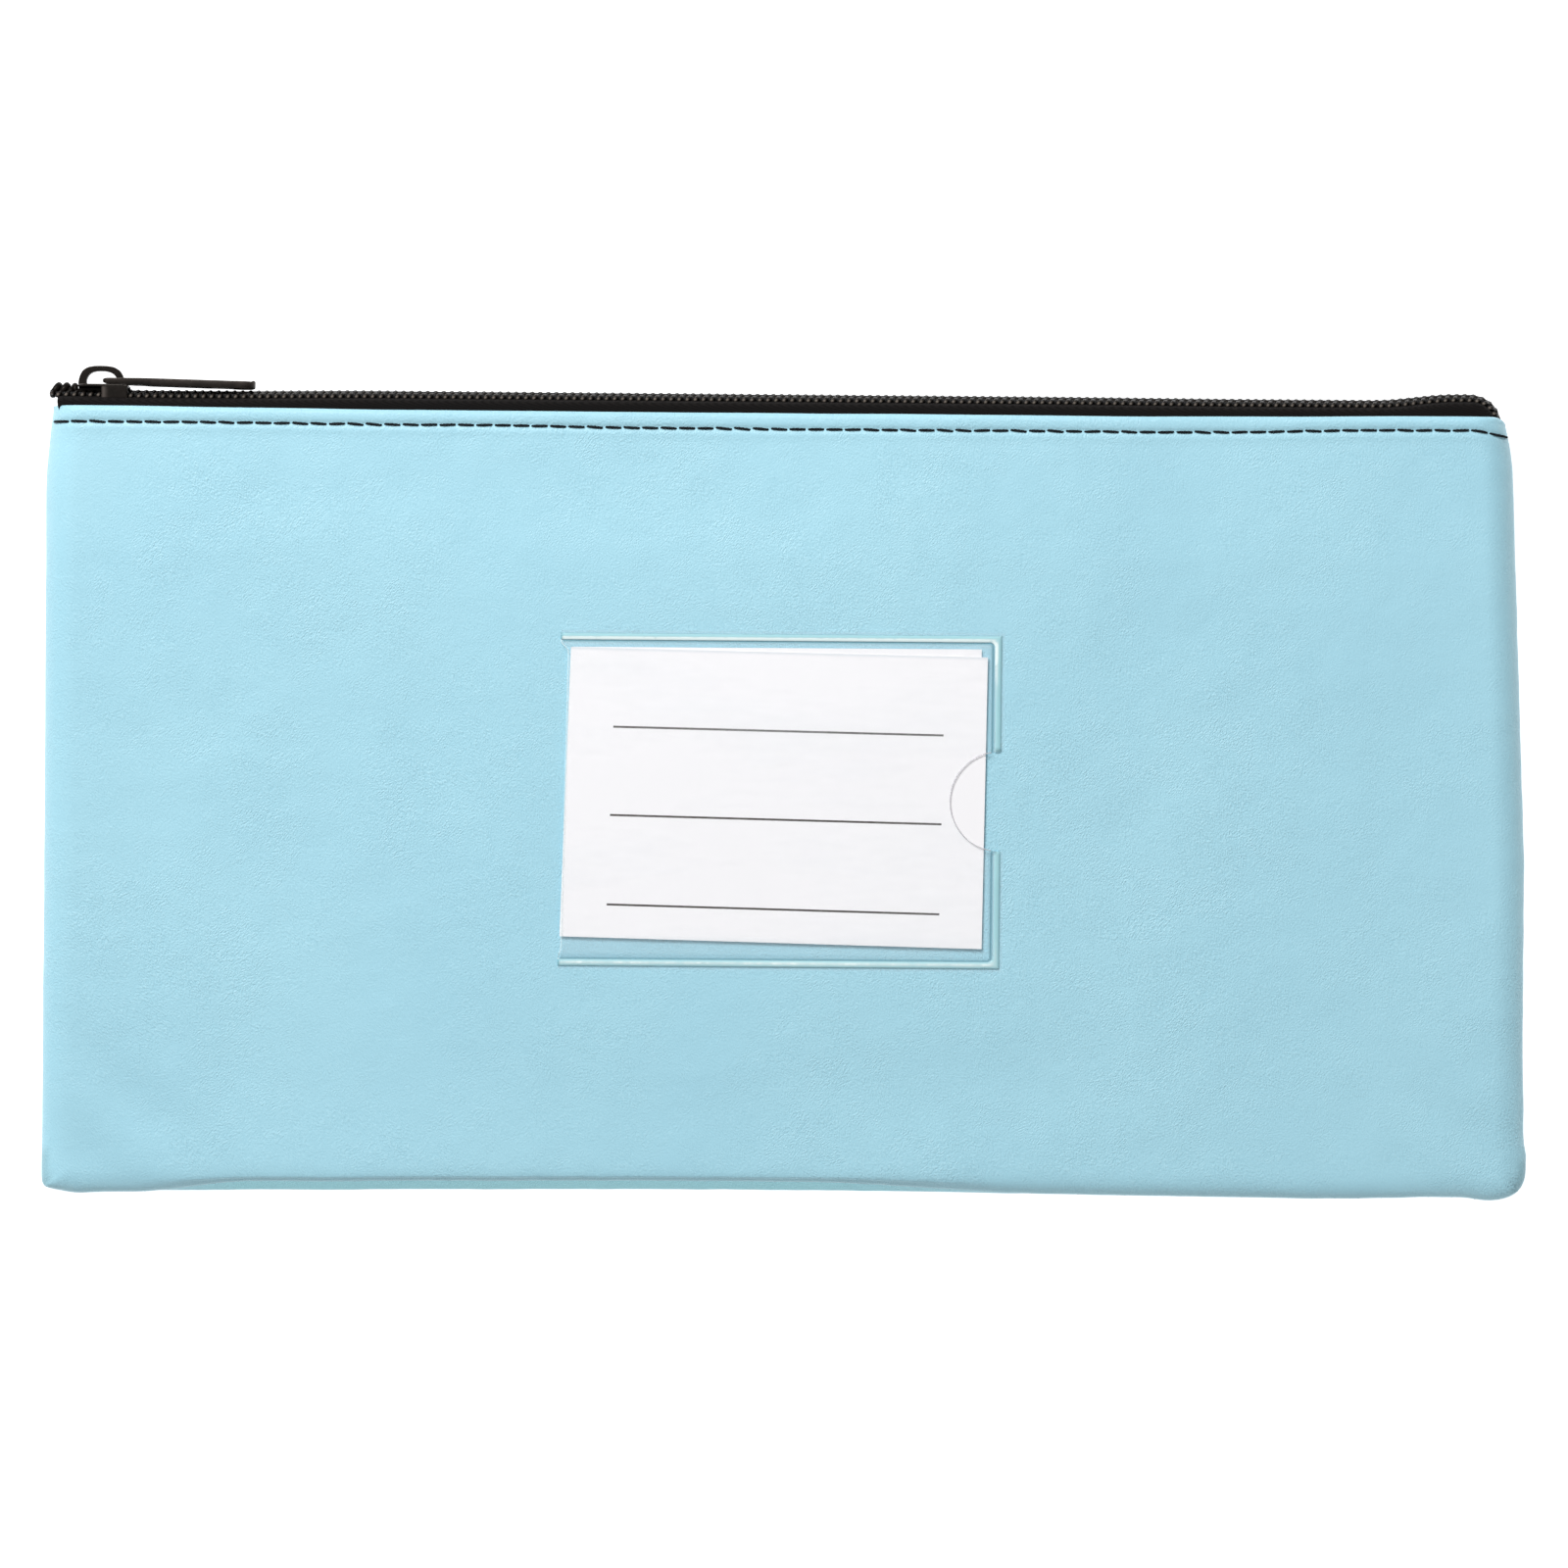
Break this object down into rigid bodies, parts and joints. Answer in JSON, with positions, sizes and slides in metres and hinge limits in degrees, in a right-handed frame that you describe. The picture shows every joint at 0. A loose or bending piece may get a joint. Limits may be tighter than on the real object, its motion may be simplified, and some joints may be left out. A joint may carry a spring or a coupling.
{
  "type": "cash deposit bag",
  "caption": "Flat zipped cash deposit bag in pale blue grained leatherette, with a nylon coil zip along the top and a clear label window holding a ruled card.",
  "frame": {"origin": "the middle of the flat back face that the bag lies on", "axes": "+X along the zip, away from the closed slider; +Y from the bottom edge to the zip; +Z out of the front, up when it lies down"},
  "size_m": [0.2794, 0.1549, 0.0168],
  "materials": {
    "leatherette": "fine pebble grain, satin",
    "zip_tape": "woven, matt",
    "zip_coil": "drawn nylon, satin",
    "black_thread": "twisted thread, matt",
    "blue_thread": "twisted thread, matt",
    "slider_metal": "worn black enamel on die-cast metal",
    "clear_film": "clear soft vinyl, glossy",
    "card": "smooth card, matt"
  },
  "bodies": {
    "bag": {"front_panel": "leatherette", "back_panel": "leatherette", "front_zip_tape": "zip_tape", "back_zip_tape": "zip_tape", "front_zip_coil": "zip_coil", "back_zip_coil": "zip_coil", "front_coil_cord": "zip_tape", "back_coil_cord": "zip_tape", "front_coil_thread": "black_thread", "back_coil_thread": "black_thread", "front_topstitch": "black_thread", "back_topstitch": "black_thread", "front_bobbin_thread": "black_thread", "back_bobbin_thread": "black_thread", "left_seam_thread": "blue_thread", "right_seam_thread": "blue_thread", "bottom_seam_thread": "blue_thread", "label_window": "clear_film"},
    "slider": {"slider_body": "slider_metal"},
    "pull": {"slider_pull": "slider_metal"},
    "card": {"insert_card": "card"}
  },
  "joints": [
    {"name": "zip_slide", "type": "slide", "parent": "bag", "child": "slider", "axis": [1, 0, 0], "range_m": [0, 0.235]},
    {"name": "pull_hinge", "type": "hinge", "parent": "slider", "child": "pull", "pos_m": [-0.1283, 0.07845, 0.0085], "axis": [0, 0, 1], "range_deg": [0, 178]},
    {"name": "card_slide", "type": "slide", "parent": "bag", "child": "card", "axis": [-1, 0, 0], "range_m": [0, 0.085]}
  ]
}
